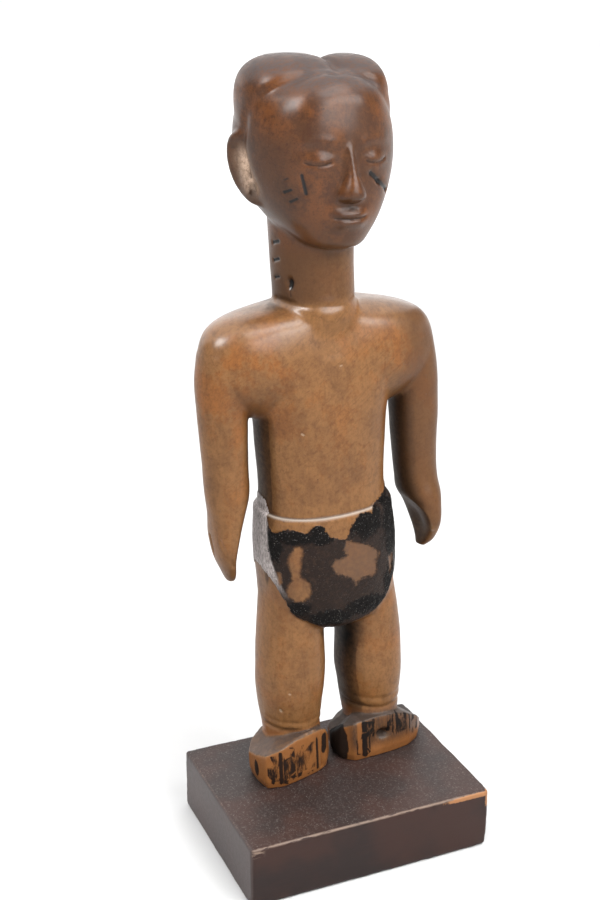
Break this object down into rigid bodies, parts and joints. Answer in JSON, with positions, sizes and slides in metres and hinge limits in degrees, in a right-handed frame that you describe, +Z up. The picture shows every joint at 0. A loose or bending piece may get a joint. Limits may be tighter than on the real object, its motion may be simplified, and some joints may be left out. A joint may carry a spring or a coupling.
{
  "type": "ancestor figure",
  "caption": "Standing carved wooden ancestor figure with lobed hair, arms at its sides and a pitch-blackened loincloth, on a dark rectangular wooden plinth.",
  "frame": {"origin": "middle of the plinth's underside", "axes": "+Z up; +X along the plinth's width, towards the figure's left; +Y towards its back, so it faces -Y"},
  "size_m": [0.1012, 0.0779, 0.2993],
  "materials": {
    "carved_wood": "satin",
    "stained_wood": "satin"
  },
  "bodies": {
    "root": {"figure": "carved_wood", "plinth": "stained_wood"}
  },
  "joints": []
}
